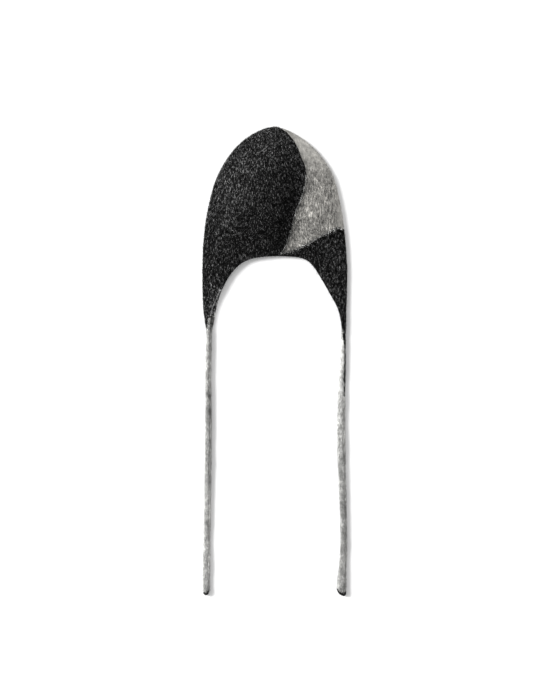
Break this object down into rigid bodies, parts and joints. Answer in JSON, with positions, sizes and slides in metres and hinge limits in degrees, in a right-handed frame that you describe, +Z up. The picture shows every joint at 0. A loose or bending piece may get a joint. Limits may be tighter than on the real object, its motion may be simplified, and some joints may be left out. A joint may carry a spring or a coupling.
{
  "type": "earflap cap",
  "caption": "Brushed wool earflap cap lying flat: domed charcoal crown with a light grey wedge, arched brim, folded earflaps and long narrow ties that fasten under the chin.",
  "frame": {"origin": "centre of the cap's box, without its ties, on the surface it lies on", "axes": "+Z up from the surface, +Y from the brim towards the top of the crown, +X towards the light wedge"},
  "size_m": [0.2223, 0.7205, 0.039],
  "materials": {
    "charcoal_wool": "brushed felted knit, charcoal marl",
    "light_wool": "brushed felted knit, light grey marl",
    "tie_wool": "felted knit strip, light grey marl",
    "bound_off_wool": "tight bound-off edge, near black"
  },
  "bodies": {
    "root": {"crown": "charcoal_wool", "light_panel": "light_wool", "left_tie": "tie_wool", "right_tie": "tie_wool", "left_tie_end": "bound_off_wool", "right_tie_end": "bound_off_wool"}
  },
  "joints": []
}
